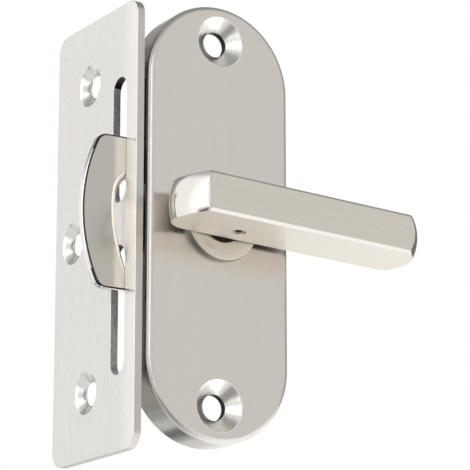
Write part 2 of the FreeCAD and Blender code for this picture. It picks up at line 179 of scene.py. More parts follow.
class LatchSizes(bpy.types.PropertyGroup):
    """Small sizes of the finish that a user would change"""
    case_edge: bpy.props.FloatProperty(
        name="Case edges", description="Width of the rounding on the cut edges of the case",
        default=0.00012, min=0.0, max=0.0004, precision=5, unit="LENGTH", subtype="DISTANCE")
    plate_edge: bpy.props.FloatProperty(
        name="Edge plate edges", description="Width of the rounding on the edges of the edge plate",
        default=0.00010, min=0.0, max=0.0004, precision=5, unit="LENGTH", subtype="DISTANCE")
    hook_edge: bpy.props.FloatProperty(
        name="Hook edges", description="Width of the rounding round the hook",
        default=0.00014, min=0.0, max=0.0004, precision=5, unit="LENGTH", subtype="DISTANCE")
    lever_edge: bpy.props.FloatProperty(
        name="Lever edges", description="Width of the rounding on the edges of the lever",
        default=0.00012, min=0.0, max=0.0004, precision=5, unit="LENGTH", subtype="DISTANCE")
    ring_edge: bpy.props.FloatProperty(
        name="Ring edges", description="Radius on the corners of the collar, the bush and the washers",
        default=0.00010, min=0.00001, max=0.0003, precision=5, unit="LENGTH", subtype="DISTANCE")
    pin_chamfer: bpy.props.FloatProperty(
        name="Pin chamfer", description="Chamfer on both ends of the pins and rivets",
        default=0.00012, min=0.00001, max=0.0004, precision=5, unit="LENGTH", subtype="DISTANCE")
    brush_pitch: bpy.props.FloatProperty(
        name="Brush pitch", description="Distance between the fine lines of the brushed finish",
        default=0.00022, min=0.00005, max=0.002, precision=5, unit="LENGTH", subtype="DISTANCE")
    brush_length: bpy.props.FloatProperty(
        name="Brush length", description="Length of one line of the brushed finish",
        default=0.012, min=0.001, max=0.1, precision=4, unit="LENGTH", subtype="DISTANCE")


class LatchFinish(bpy.types.PropertyGroup):
    """Colours of the metals, the nylon and the black paint"""
    face_steel: bpy.props.FloatVectorProperty(
        name="Brushed case steel", description="Colour of the brushed face of the case",
        default=(0.69, 0.65, 0.602), min=0.0, max=1.0, subtype="COLOR")
    plate_steel: bpy.props.FloatVectorProperty(
        name="Edge plate steel", description="Colour of the brushed edge plate",
        default=(0.865, 0.845, 0.812), min=0.0, max=1.0, subtype="COLOR")
    lever_steel: bpy.props.FloatVectorProperty(
        name="Lever steel", description="Colour of the lever",
        default=(0.67, 0.633, 0.565), min=0.0, max=1.0, subtype="COLOR")
    bright_steel: bpy.props.FloatVectorProperty(
        name="Polished steel", description="Colour of the lever's ends and the case's rim and wall",
        default=(0.64, 0.62, 0.585), min=0.0, max=1.0, subtype="COLOR")
    hook_steel: bpy.props.FloatVectorProperty(
        name="Hook steel", description="Colour of the satin faces of the hook",
        default=(0.55, 0.525, 0.475), min=0.0, max=1.0, subtype="COLOR")
    collar_steel: bpy.props.FloatVectorProperty(
        name="Collar steel", description="Colour of the collar round the spindle",
        default=(0.70, 0.655, 0.575), min=0.0, max=1.0, subtype="COLOR")
    # Partly painted highlight: the rims are polished, and their colour is painted near white, far lighter
    # than the hook's faces
    rim_highlight_steel: bpy.props.FloatVectorProperty(
        name="Rim steel", description="Colour of the bright rims of the hook and the edge plate",
        default=(0.90, 0.89, 0.87), min=0.0, max=1.0, subtype="COLOR")
    # Painted reflection: the hook's rim line is painted near black, for a dark reflection in the bevel
    shade_steel: bpy.props.FloatVectorProperty(
        name="Rim line steel", description="Colour of the dark line between the hook's rim and its faces",
        default=(0.05, 0.05, 0.05), min=0.0, max=1.0, subtype="COLOR")
    # Painted highlight: the throat's edge is painted cream, far lighter than the hook's faces
    throat_highlight_steel: bpy.props.FloatVectorProperty(
        name="Throat steel", description="Colour of the painted highlight on the edge of the hook's throat",
        default=(0.95, 0.90, 0.83), min=0.0, max=1.0, subtype="COLOR")
    cone_steel: bpy.props.FloatVectorProperty(
        name="Countersink steel", description="Colour of the turned countersinks",
        default=(0.82, 0.80, 0.765), min=0.0, max=1.0, subtype="COLOR")
    # Painted shade: the collar's side wall is a darker copy of the collar's steel
    side_shade_steel: bpy.props.FloatVectorProperty(
        name="Collar side steel", description="Colour of the side wall of the collar",
        default=(0.34, 0.335, 0.31), min=0.0, max=1.0, subtype="COLOR")
    # Painted shade: the case's screw holes and the slot tops are painted near black, as shadow
    bore_shade_steel: bpy.props.FloatVectorProperty(
        name="Dark bore steel", description="Colour of the case's screw holes and the tops of the slots",
        default=(0.03, 0.03, 0.03), min=0.0, max=1.0, subtype="COLOR")
    inner_steel: bpy.props.FloatVectorProperty(
        name="Inner steel", description="Colour of the plain steel parts inside the case",
        default=(0.42, 0.41, 0.39), min=0.0, max=1.0, subtype="COLOR")
    edge_steel: bpy.props.FloatVectorProperty(
        name="Edge steel", description="Colour of the edge plate's narrow sides",
        default=(0.57, 0.545, 0.505), min=0.0, max=1.0, subtype="COLOR")
    # Partly painted light: the slot walls are mottled cut steel, with their colour painted near white to
    # stand in for light
    cut_steel: bpy.props.FloatVectorProperty(
        name="Cut steel", description="Colour of the rough walls of the slots",
        default=(0.95, 0.93, 0.88), min=0.0, max=1.0, subtype="COLOR")
    bush_brass: bpy.props.FloatVectorProperty(
        name="Bush brass", description="Colour of the brass bush",
        default=(0.72, 0.52, 0.26), min=0.0, max=1.0, subtype="COLOR")
    washer_nylon: bpy.props.FloatVectorProperty(
        name="Washer nylon", description="Colour of the black nylon washer under the lever",
        default=(0.006, 0.006, 0.006), min=0.0, max=1.0, subtype="COLOR")
    keeper_paint: bpy.props.FloatVectorProperty(
        name="Keeper paint", description="Colour of the black strip behind the hook",
        default=(0.008, 0.008, 0.009), min=0.0, max=1.0, subtype="COLOR")


class LatchStudio(bpy.types.PropertyGroup):
    """The plain studio round the latch"""
    room_level: bpy.props.FloatProperty(
        name="Room level", description="Level of the room that the metal reflects, where no card covers it",
        default=0.84, min=0.0, max=3.0)
    floor_drop: bpy.props.FloatProperty(
        name="Floor drop", description="Height of the latch above the floor",
        default=0.30, min=0.0, max=2.0, unit="LENGTH", subtype="DISTANCE")
    floor_colour: bpy.props.FloatVectorProperty(
        name="Floor", description="Colour of the plain floor",
        default=(0.80, 0.80, 0.79), min=0.0, max=1.0, subtype="COLOR")
    key_power: bpy.props.FloatProperty(
        name="Lamps", description="Power of each of the two soft lamps",
        default=1.5, min=0.0, max=100.0, unit="POWER")


# Geometry node trees and plain node helpers

def worked_node(tree, kind, operation, values, output):
    # A node that works on its inputs, each of them linked or set
    node = tree.nodes.new(kind)
    node.operation = operation
    for socket, value in zip(node.inputs, values):
        if isinstance(value, bpy.types.NodeSocket):
            tree.links.new(value, socket)
        else:
            socket.default_value = value
    return node.outputs[output]


def value_node(tree, operation, *values):
    return worked_node(tree, "ShaderNodeMath", operation, values, "Value")


def vector_node(tree, operation, *values, output="Vector"):
    return worked_node(tree, "ShaderNodeVectorMath", operation, values, output)


def joined_node(tree, kind, mode=None, **links):
    # A node with some of its inputs linked or set; the names use _ for a space
    node = tree.nodes.new(kind)
    if mode:
        node.mode = mode
    for name, value in links.items():
        socket = node.inputs[name.replace("_", " ")]
        if isinstance(value, bpy.types.NodeSocket):
            tree.links.new(value, socket)
        else:
            socket.default_value = value
    return node


def open_tree(name, inputs):
    tree = bpy.data.node_groups.new(name, "GeometryNodeTree")
    for label, kind in inputs:
        tree.interface.new_socket(label, in_out="INPUT", socket_type="NodeSocket" + kind)
    tree.interface.new_socket("Geometry", in_out="OUTPUT", socket_type="NodeSocketGeometry")
    return tree, tree.nodes.new("NodeGroupInput").outputs


def close_tree(tree, geometry, material):
    # Every tree ends in plain geometry with its material
    real = joined_node(tree, "GeometryNodeRealizeInstances", Geometry=geometry)
    paint = joined_node(tree, "GeometryNodeSetMaterial", Geometry=real.outputs["Geometry"],
                        Material=material)
    joined_node(tree, "NodeGroupOutput", Geometry=paint.outputs["Geometry"])


def turned_ring_tree():
    # Sweeps a four cornered section with small rounded corners round the axis
    inputs = [(corner, "Vector") for corner in RING_CORNERS]
    inputs += [("Path Radius", "Float"), ("Corner Radius", "Float"), ("Sides", "Int"),
               ("Material", "Material")]
    tree, given = open_tree("turned_ring", inputs)
    path_centre = joined_node(tree, "ShaderNodeCombineXYZ", X=given["Path Radius"])
    section = joined_node(tree, "GeometryNodeCurvePrimitiveQuadrilateral", mode="POINTS")
    for number, corner in enumerate(RING_CORNERS, 1):
        away = vector_node(tree, "SUBTRACT", given[corner], path_centre.outputs["Vector"])
        tree.links.new(away, section.inputs["Point %d" % number])
    rounded = joined_node(tree, "GeometryNodeFilletCurve", mode="POLY", Curve=section.outputs["Curve"],
                          Count=3, Radius=given["Corner Radius"])
    path = joined_node(tree, "GeometryNodeCurvePrimitiveCircle", Radius=given["Path Radius"],
                       Resolution=given["Sides"])
    swept = joined_node(tree, "GeometryNodeCurveToMesh", Curve=path.outputs["Curve"],
                        Profile_Curve=rounded.outputs["Curve"])
    upright = joined_node(tree, "GeometryNodeTransform", Geometry=swept.outputs["Mesh"],
                          Rotation=(math.pi / 2, 0.0, 0.0))
    close_tree(tree, upright.outputs["Geometry"], given["Material"])
    return tree


def pin_circle_tree():
    # Turned pins with chamfered ends, set at even steps round the axis
    inputs = [("Count", "Int"), ("Circle Radius", "Float"), ("First Angle", "Float"),
              ("Step Angle", "Float"), ("Pin Radius", "Float"), ("Chamfer", "Float"), ("Front", "Float"),
              ("Back", "Float"), ("Sides", "Int"), ("Material", "Material")]
    tree, given = open_tree("pin_circle", inputs)
    index = tree.nodes.new("GeometryNodeInputIndex").outputs["Index"]
    angle = value_node(tree, "MULTIPLY_ADD", index, given["Step Angle"], given["First Angle"])
    circle = given["Circle Radius"]
    spot = joined_node(tree, "ShaderNodeCombineXYZ",
                       X=value_node(tree, "MULTIPLY", value_node(tree, "COSINE", angle), circle),
                       Z=value_node(tree, "MULTIPLY", value_node(tree, "SINE", angle), circle))
    spots = joined_node(tree, "GeometryNodePoints", Count=given["Count"], Position=spot.outputs["Vector"])
    # The spine of a pin has four stations: its front, the two chamfers and its back
    line = joined_node(tree, "GeometryNodeMeshLine", Count=4)
    from_middle = value_node(tree, "SUBTRACT", index, 1.5)
    at_end = value_node(tree, "GREATER_THAN", value_node(tree, "ABSOLUTE", from_middle), 1.0)
    at_front = value_node(tree, "LESS_THAN", from_middle, 0.0)
    inset = value_node(tree, "MULTIPLY", value_node(tree, "SUBTRACT", 1.0, at_end), given["Chamfer"])
    front = value_node(tree, "MULTIPLY", at_front, value_node(tree, "ADD", given["Front"], inset))
    back = value_node(tree, "MULTIPLY", value_node(tree, "SUBTRACT", 1.0, at_front),
                      value_node(tree, "SUBTRACT", given["Back"], inset))
    station = joined_node(tree, "ShaderNodeCombineXYZ", Y=value_node(tree, "ADD", front, back))
    spine = joined_node(tree, "GeometryNodeSetPosition", Geometry=line.outputs["Mesh"],
                        Position=station.outputs["Vector"])
    spine = joined_node(tree, "GeometryNodeMeshToCurve", Mesh=spine.outputs["Geometry"])
    rim = joined_node(tree, "GeometryNodeCurvePrimitiveCircle", Radius=1.0, Resolution=given["Sides"])
    width = value_node(tree, "SUBTRACT", given["Pin Radius"],
                       value_node(tree, "MULTIPLY", at_end, given["Chamfer"]))
    pin = joined_node(tree, "GeometryNodeCurveToMesh", Curve=spine.outputs["Curve"],
                      Profile_Curve=rim.outputs["Curve"], Scale=width, Fill_Caps=True)
    pins = joined_node(tree, "GeometryNodeInstanceOnPoints", Points=spots.outputs[0],
                       Instance=pin.outputs["Mesh"])
    close_tree(tree, pins.outputs["Instances"], given["Material"])
    return tree


def grown_piece(name, tree, settings, node, body):
    # Runs a tree with its inputs set and keeps the result as a plain mesh piece
    draft = bpy.data.objects.new(name + "_draft", bpy.data.meshes.new(name + "_draft"))
    bpy.context.scene.collection.objects.link(draft)
    maker = draft.modifiers.new(tree.name, "NODES")
    maker.node_group = tree
    sockets = {item.name: item.identifier for item in tree.interface.items_tree if item.in_out == "INPUT"}
    for label, value in settings.items():
        maker[sockets[label]] = value
    mesh = plain_mesh(draft, name)
    draft.modifiers.remove(maker)
    bpy.data.objects.remove(draft)
    for face in mesh.polygons:
        face.use_smooth = True
    mesh.set_sharp_from_angle(angle=SHARP_ANGLE)
    return kept_piece(name, mesh, node, body)


def shade_side(piece, material):
    # Painted shade: a second, darker colour for the side wall of a turned ring
    piece.data.materials.append(material)
    for face in piece.data.polygons:
        if abs(face.normal.y) < 0.6:
            face.material_index = 1


def kept_piece(name, mesh, node, body):
    piece = bpy.data.objects.new(name, mesh)
    bpy.context.scene.collection.objects.link(piece)
    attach(piece, body)
    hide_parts(node)
    return piece


# Node material building

def start_material(name, metallic, roughness):
    material = bpy.data.materials.new(name)
    material.use_nodes = True
    tree = material.node_tree
    tree.nodes.clear()
    output = tree.nodes.new("ShaderNodeOutputMaterial")
    shader = tree.nodes.new("ShaderNodeBsdfPrincipled")
    shader.inputs["Metallic"].default_value = metallic
    shader.inputs["Roughness"].default_value = roughness
    tree.links.new(shader.outputs["BSDF"], output.inputs["Surface"])
    return material, tree, shader


def stretched_noise(tree, cell, turn=(0.0, 0.0, 0.0), detail=3.0):
    # Noise whose cells have the size of cell, in metres, along the axes after the turn
    place = tree.nodes.new("ShaderNodeTexCoord")
    mapping = joined_node(tree, "ShaderNodeMapping", Vector=place.outputs["Object"], Rotation=turn,
                          Scale=cell)
    mapping.vector_type = "TEXTURE"
    noise = joined_node(tree, "ShaderNodeTexNoise", Vector=mapping.outputs["Vector"], Scale=1.0,
                        Detail=detail, Roughness=0.6)
    return noise.outputs["Fac"]


def mapped(tree, value, low, high, start=0.25, end=0.75):
    # The value, from start to end, as a value from low to high; noise mostly lies in 0.25 to 0.75
    node = joined_node(tree, "ShaderNodeMapRange", Value=value, From_Min=start, From_Max=end,
                       To_Min=low, To_Max=high)
    return node.outputs["Result"]


def tinted(tree, colour, value, spread):
    # The colour, darker and lighter by the spread as the value goes from 0 to 1
    node = tree.nodes.new("ShaderNodeMix")
    node.data_type = "RGBA"
    node.inputs["A"].default_value = [min(c * (1 - spread), 1.0) for c in colour] + [1.0]
    node.inputs["B"].default_value = [min(c * (1 + spread), 1.0) for c in colour] + [1.0]
    tree.links.new(mapped(tree, value, 0.0, 1.0), node.inputs["Factor"])
    return node.outputs["Result"]


def bumped(tree, shader, value, depth):
    node = joined_node(tree, "ShaderNodeBump", Strength=1.0, Distance=depth, Height=value)
    tree.links.new(node.outputs["Normal"], shader.inputs["Normal"])


def brushed_metal(name, colour, roughness, pitch, length, axis, spread=0.02, depth=2e-6,
                  anisotropy=0.0, turn=(0.0, 0.0, 0.0)):
    # Steel with fine straight lines along one axis, and wide faint bands among them
    material, tree, shader = start_material(name, 1.0, roughness)
    cell = [pitch, pitch, pitch]
    cell[axis] = length
    lines = stretched_noise(tree, cell, turn)
    bands = stretched_noise(tree, [size * BAND_WIDTH for size in cell], turn, 2.0)
    fine_part = value_node(tree, "MULTIPLY", lines, 1.0 - BAND_SHARE)
    both = value_node(tree, "MULTIPLY_ADD", bands, BAND_SHARE, fine_part)
    tree.links.new(tinted(tree, colour, both, spread), shader.inputs["Base Color"])
    tree.links.new(mapped(tree, lines, roughness * 0.9, roughness * 1.1), shader.inputs["Roughness"])
    bumped(tree, shader, lines, depth)
    if anisotropy:
        shader.inputs["Anisotropic"].default_value = anisotropy
        tangent = tree.nodes.new("ShaderNodeTangent")
        tangent.direction_type = "UV_MAP"
        tangent.uv_map = "brush"
        tree.links.new(tangent.outputs["Tangent"], shader.inputs["Tangent"])
    return material


def painted_highlight_towards(material, axis, start, end, gain):
    # Paints a highlight: makes a material's colour lighter along an axis, from start, where it stays, to
    # end
    tree = material.node_tree
    shader = next(node for node in tree.nodes if node.type == "BSDF_PRINCIPLED")
    colour = shader.inputs["Base Color"].links[0].from_socket
    place = tree.nodes.new("ShaderNodeTexCoord")
    parts = joined_node(tree, "ShaderNodeSeparateXYZ", Vector=place.outputs["Object"])
    level = mapped(tree, parts.outputs[axis], 1.0, gain, start, end)
    lighter = tree.nodes.new("ShaderNodeVectorMath")
    lighter.operation = "SCALE"
    tree.links.new(colour, lighter.inputs[0])
    tree.links.new(level, lighter.inputs["Scale"])
    tree.links.new(lighter.outputs["Vector"], shader.inputs["Base Color"])


def polished_metal(name, colour, roughness, cell=0.002, spread=0.015, depth=1e-6):
    # Buffed steel with faint waves and smears
    material, tree, shader = start_material(name, 1.0, roughness)
    smears = stretched_noise(tree, [cell, cell, cell], detail=4.0)
    tree.links.new(tinted(tree, colour, smears, spread), shader.inputs["Base Color"])
    tree.links.new(mapped(tree, smears, roughness * 0.8, roughness * 1.25), shader.inputs["Roughness"])
    bumped(tree, shader, smears, depth)
    return material


def turned_metal(name, colour, roughness, centres, axis, pitch=0.00012, depth=2e-6):
    # Steel with fine rings round each of the centres, as a drill leaves in a countersink
    material, tree, shader = start_material(name, 1.0, roughness)
    place = tree.nodes.new("ShaderNodeTexCoord").outputs["Object"]
    flat = [0.0 if number == axis else 1.0 for number in (X, Y, Z)]
    nearest = None
    for centre in centres:
        away = vector_node(tree, "MULTIPLY", vector_node(tree, "SUBTRACT", place, centre), flat)
        distance = vector_node(tree, "LENGTH", away, output="Value")
        nearest = distance if nearest is None else value_node(tree, "MINIMUM", nearest, distance)
    turns = value_node(tree, "DIVIDE", nearest, pitch)
    rings = tree.nodes.new("ShaderNodeTexNoise")
    rings.noise_dimensions = "1D"
    rings.inputs["Scale"].default_value = 1.0
    rings.inputs["Detail"].default_value = 2.0
    tree.links.new(turns, rings.inputs["W"])
    tree.links.new(tinted(tree, colour, rings.outputs["Fac"], 0.06), shader.inputs["Base Color"])
    bumped(tree, shader, rings.outputs["Fac"], depth)
    return material


def rough_cut_metal(name, colour, roughness, cell, spread=0.45, depth=1.2e-5):
    # Torn and burnt metal of a punched or sawn wall
    material, tree, shader = start_material(name, 1.0, roughness)
    grit = stretched_noise(tree, cell, detail=6.0)
    tree.links.new(tinted(tree, colour, grit, spread), shader.inputs["Base Color"])
    tree.links.new(mapped(tree, grit, roughness * 0.8, roughness * 1.2), shader.inputs["Roughness"])
    bumped(tree, shader, grit, depth)
    return material


def moulded_plastic(name, colour, roughness):
    # Dull nylon or paint with a fine grain
    material, tree, shader = start_material(name, 0.0, roughness)
    grain = stretched_noise(tree, [0.0003, 0.0003, 0.0003])
    tree.links.new(tinted(tree, colour, grain, 0.15), shader.inputs["Base Color"])
    bumped(tree, shader, grain, 3e-6)
    return material


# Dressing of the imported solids

def merged_copy(node):
    # A joined copy of a node's loose triangles, with level ones made one face
    work = bmesh.new()
    work.from_mesh(NODES[node].data)
    bmesh.ops.remove_doubles(work, verts=work.verts, dist=MERGE_DISTANCE)
    bmesh.ops.dissolve_limit(work, angle_limit=LEVEL_ANGLE, use_dissolve_boundaries=False,
                             verts=work.verts, edges=work.edges)
    return work


def round_edges(work, width):
    sharp = [edge for edge in work.edges
             if len(edge.link_faces) == 2 and edge.calc_face_angle(0.0) > ROUNDED_ANGLE]
    if width > 0.0 and sharp:
        bmesh.ops.bevel(work, geom=sharp, offset=width, offset_type="OFFSET", segments=ROUNDING_STEPS,
                        profile=0.5, affect="EDGES", clamp_overlap=True, loop_slide=True)


def brush_map(mesh, across):
    # U runs across the brush lines, so that the sheen spreads that way
    layer = mesh.uv_layers.new(name="brush")
    for face in mesh.polygons:
        first = across(face.normal)
        second = face.normal.cross(first)
        for corner in face.loop_indices:
            point = mesh.vertices[mesh.loops[corner].vertex_index].co
            layer.data[corner].uv = (point.dot(first) * MAP_SCALE, point.dot(second) * MAP_SCALE)


def across_upright(normal):
    # The lines run up the front and back of a piece
    return RIGHT if abs(normal.y) > 0.5 else INWARD


def finished_piece(name, work, body, node, materials, choose, across):
    # Turns the work into a mesh piece with even shading that stands for the CAD node
    mesh = bpy.data.meshes.new(name)
    work.to_mesh(mesh)
    work.free()
    for spare in ("custom_normal", "sharp_edge", "sharp_face"):
        if spare in mesh.attributes:
            mesh.attributes.remove(mesh.attributes[spare])
    mesh.materials.clear()
    for material in materials:
        mesh.materials.append(material)
    for face in mesh.polygons:
        face.use_smooth = True
        face.material_index = choose(face.normal, face.center)
    mesh.set_sharp_from_angle(angle=SHARP_ANGLE)
    brush_map(mesh, across)
    draft = bpy.data.objects.new(name + "_draft", mesh)
    bpy.context.scene.collection.objects.link(draft)
    shade = draft.modifiers.new("even_shading", "WEIGHTED_NORMAL")
    shade.keep_sharp = True
    shade.weight = FACE_WEIGHT
    result = plain_mesh(draft, name)
    bpy.data.objects.remove(draft)
    bpy.data.meshes.remove(mesh)
    return kept_piece(name, result, node, body)


def plain_mesh(maker, name):
    graph = bpy.context.evaluated_depsgraph_get()
    graph.update()
    mesh = bpy.data.meshes.new_from_object(maker.evaluated_get(graph), preserve_all_data_layers=True,
                                           depsgraph=graph)
    mesh.name = name
    return mesh


def near(point, centre, radius, axis):
    # Distance across the axis is under the radius
    gap = [point[k] - centre[k] for k in range(3) if k != axis]
    return math.hypot(*gap) < radius


# Operators, one for each piece or group of like pieces

class LATCH_OT_case(bpy.types.Operator):
    """Pressed case with a brushed face, turned countersinks and a buffed rim"""
    bl_idname = "latch.case"
    bl_label = "Case"

    def execute(self, context):
        sizes = context.scene.latch_sizes
        finish = context.scene.latch_finish
        work = merged_copy("housing_shell")
        round_edges(work, sizes.case_edge)
        brushed, rim, sink, inside, wall, bore = range(6)
        materials = [
            brushed_metal("case_brushed", finish.face_steel, 0.29, sizes.brush_pitch, sizes.brush_length, Z,
                          anisotropy=0.85),
            polished_metal("case_rim", finish.bright_steel, 0.3),
            turned_metal("case_countersink", finish.cone_steel, 0.24, CASE_SCREWS, Y, 0.00025, 5e-6),
            rough_cut_metal("case_inside", finish.inner_steel, 0.5, [0.0004, 0.0004, 0.0004], 0.2, 2e-6),
            polished_metal("case_wall", finish.bright_steel, 0.15),
            polished_metal("case_screw_bore_painted_shade", finish.bore_shade_steel, 0.5),
        ]

        def choose(normal, centre):
            if normal.y < -0.999 and centre.y < CASE_FRONT + ON_FRONT:
                return brushed
            in_screw = any(near(centre, middle, CASE_SINK_RADIUS, Y) for middle in CASE_SCREWS)
            if in_screw and normal.y < -0.2:
                return sink
            # The walls of the screw holes are painted near black, as painted shade
            if in_screw and normal.y < 0.2:
                return bore
            if centre.y < CASE_FRONT + CASE_RIM_DEPTH and normal.y < 0.3:
                return rim
            past_end = centre.z - max(min(centre.z, CASE_END_MIDDLE), -CASE_END_MIDDLE)
            return wall if normal.x * centre.x + normal.z * past_end > 0 else inside

        finished_piece("case_shell", work, CASE_BODY, "housing_shell", materials, choose, across_upright)
        return {"FINISHED"}


class LATCH_OT_edge_plate(bpy.types.Operator):
    """Edge plate with brushed faces, countersinks and rough slot walls"""
    bl_idname = "latch.edge_plate"
    bl_label = "Edge plate"

    def execute(self, context):
        sizes = context.scene.latch_sizes
        finish = context.scene.latch_finish
        work = merged_copy("strike_plate")
        round_edges(work, sizes.plate_edge)
        brushed, edge, sink, slot_wall, inner_face, rim, slot_end = range(7)
        grit = [0.0006, 0.0006, 0.0009]
        materials = [
            brushed_metal("plate_brushed", finish.plate_steel, 0.28, sizes.brush_pitch,
                          sizes.brush_length, Z, spread=0.012, depth=1.2e-6, anisotropy=0.9),
            brushed_metal("plate_edge", finish.edge_steel, 0.3, 0.0003, 0.003, Z, spread=0.06),
            turned_metal("plate_countersink", finish.cone_steel, 0.18, PLATE_SCREWS, X, 0.0002, 4e-6),
            # The rough slot walls are cut steel, partly painted light: their colour is near white to stand
            # in for light
            rough_cut_metal("plate_slot_wall", finish.cut_steel, 0.45, grit),
            brushed_metal("plate_inner_face", finish.inner_steel, 0.4, sizes.brush_pitch,
                          sizes.brush_length, Z),
            polished_metal("plate_rim", finish.rim_highlight_steel, 0.12),
            rough_cut_metal("plate_slot_end_painted_shade", finish.bore_shade_steel, 0.5, grit),
        ]
        # A painted highlight: the brushed colour grows lighter towards the plate's front edge
        painted_highlight_towards(materials[brushed], "Y", HIGHLIGHT_START, HIGHLIGHT_END, HIGHLIGHT_GAIN)

        def choose(normal, centre):
            if normal.x > 0.99:
                return inner_face
            if normal.x < -0.995:
                return brushed
            if any(near(centre, middle, PLATE_SINK_RADIUS, X) for middle in PLATE_SCREWS):
                return sink
            beside = abs(centre.y - SLOT_MIDDLE_Y) < SLOT_HALF_WIDTH
            if beside and abs(centre.z - SLOT_MIDDLE_Z) < SLOT_HALF_LENGTH:
                if abs(normal.x) >= 0.35:
                    return brushed
                # The downward faces at the slot tops are painted near black, as painted shade
                return slot_end if normal.z < -0.35 else slot_wall
            return rim if abs(normal.x) > 0.2 else edge

        def across(normal):
            return INWARD if abs(normal.x) > 0.5 else RIGHT

        finished_piece("edge_plate", work, CASE_BODY, "strike_plate", materials, choose, across)
        return {"FINISHED"}


class LATCH_OT_hook(bpy.types.Operator):
    """Half moon hook with satin faces, painted highlights on its rim and throat, painted dark rim lines"""
    bl_idname = "latch.hook"
    bl_label = "Hook"

    def execute(self, context):
        sizes = context.scene.latch_sizes
        finish = context.scene.latch_finish
        work = merged_copy("hook_bolt")
        round_edges(work, sizes.hook_edge)
        flat, rim, painted_rim_line, throat = range(4)
        materials = [
            polished_metal("hook_face", finish.hook_steel, 0.2),
            # The hook's rim: polished, with its near white colour a painted highlight
            polished_metal("hook_rim", finish.rim_highlight_steel, 0.07),
            polished_metal("hook_rim_shade", finish.shade_steel, 0.2),
            polished_metal("hook_throat", finish.throat_highlight_steel, 0.22),
        ]

        def choose(normal, centre):
            from_centre = math.hypot(centre.x - THROAT_CENTRE_X, centre.z)
            # The edge of the throat is painted cream, as a painted highlight
            if from_centre < THROAT_RADIUS and abs(centre.z) < THROAT_HALF and abs(normal.y) < 0.995:
                return throat
            if abs(normal.y) > 0.99:
                return flat
            # The painted dark reflection is wide on the two corners and thin along the round side and the
            # ends
            steep = abs(normal.z) / math.hypot(normal.x, normal.z)
            rim_limit = 0.15 if 0.35 < steep < 0.9 else 0.6
            return painted_rim_line if abs(normal.y) > rim_limit else rim

        finished_piece("hook", work, TURNING_BODY, "hook_bolt", materials, choose, across_upright)
        return {"FINISHED"}


class LATCH_OT_lever(bpy.types.Operator):
    """Finger lever with a brushed front and underside and polished ends"""
    bl_idname = "latch.lever"
    bl_label = "Lever"

    def execute(self, context):
        sizes = context.scene.latch_sizes
        finish = context.scene.latch_finish
        work = merged_copy("lever_handle")
        round_edges(work, sizes.lever_edge)
        turn = (0.0, LEVER_DROOP, 0.0)
        along = Vector((math.cos(LEVER_DROOP), 0.0, -math.sin(LEVER_DROOP)))
        up = Vector((math.sin(LEVER_DROOP), 0.0, math.cos(LEVER_DROOP)))
        brushed_front, brushed_side, polished, hole = range(4)
        materials = [
            brushed_metal("lever_front", finish.lever_steel, 0.27, 0.00024, 0.045, X, spread=0.04,
                          depth=1.2e-6, anisotropy=0.85, turn=turn),
            brushed_metal("lever_under", finish.lever_steel, 0.34, 0.00022, 0.02, X, spread=0.012,
                          depth=5e-7, anisotropy=0.95, turn=turn),
            polished_metal("lever_polished", finish.bright_steel, 0.06),
            rough_cut_metal("lever_socket", finish.inner_steel, 0.5, [0.0004, 0.0004, 0.0004], 0.2, 2e-6),
        ]

        def choose(normal, centre):
            if normal.y < -0.99 and centre.y < LEVER_FRONT + ON_FRONT:
                return brushed_front
            off_axis = max(abs(centre.dot(along)), abs(centre.dot(up)))
            if off_axis < LEVER_HOLE_HALF and centre.y < LEVER_HOLE_BACK:
                return hole
            return brushed_side if abs(normal.dot(up)) > 0.98 else polished

        def across(normal):
            return up if abs(normal.y) > 0.6 else INWARD

        finished_piece("lever", work, TURNING_BODY, "lever_handle", materials, choose, across)
        return {"FINISHED"}


class LATCH_OT_rings(bpy.types.Operator):
    """Collar, bush and washers, turned on the spindle axis"""
    bl_idname = "latch.rings"
    bl_label = "Rings"

    def execute(self, context):
        sizes = context.scene.latch_sizes
        finish = context.scene.latch_finish
        spindle = [(0.0, 0.0, 0.0)]
        materials = {
            "collar_steel": turned_metal("collar_turned", finish.collar_steel, 0.3, spindle, Y,
                                         0.0003, 1e-6),
            "bush_brass": turned_metal("bush_turned", finish.bush_brass, 0.25, spindle, Y),
            "inner_steel": turned_metal("washer_turned", finish.inner_steel, 0.35, spindle, Y),
            "spring_steel": polished_metal("washer_spring_steel", finish.inner_steel, 0.33),
            "washer_nylon": moulded_plastic("washer_black_nylon", finish.washer_nylon, 0.85),
        }
        tree = turned_ring_tree()
        for name, node, body, slot, sides, corners in RINGS:
            radii = [radius for radius, depth in corners]
            settings = {label: (radius * MM, depth * MM, 0.0)
                        for label, (radius, depth) in zip(RING_CORNERS, corners)}
            settings["Path Radius"] = (min(radii) + max(radii)) / 2 * MM
            settings["Corner Radius"] = sizes.ring_edge
            settings["Sides"] = sides
            settings["Material"] = materials[slot]
            piece = grown_piece(name, tree, settings, node, body)
            if slot == "collar_steel":
                # The collar's side wall is a darker copy of its steel, as painted shade
                shade_side(piece, polished_metal("collar_side_painted_shade", finish.side_shade_steel, 0.35))
        return {"FINISHED"}


class LATCH_OT_pins(bpy.types.Operator):
    """Hub rivets and stop pins on their circles"""
    bl_idname = "latch.pins"
    bl_label = "Pins"

    def execute(self, context):
        finish = context.scene.latch_finish
        material = polished_metal("pin_ground", finish.inner_steel, 0.28)
        tree = pin_circle_tree()
        for name, node, body, slot, count, circle, first, step, radius, front, back in PIN_GROUPS:
            settings = {
                "Count": count, "Circle Radius": circle * MM, "First Angle": math.radians(first),
                "Step Angle": math.radians(step), "Pin Radius": radius * MM,
                "Chamfer": context.scene.latch_sizes.pin_chamfer, "Front": front * MM, "Back": back * MM,
                "Sides": PIN_SIDES, "Material": material,
            }
            grown_piece(name, tree, settings, node, body)
        return {"FINISHED"}


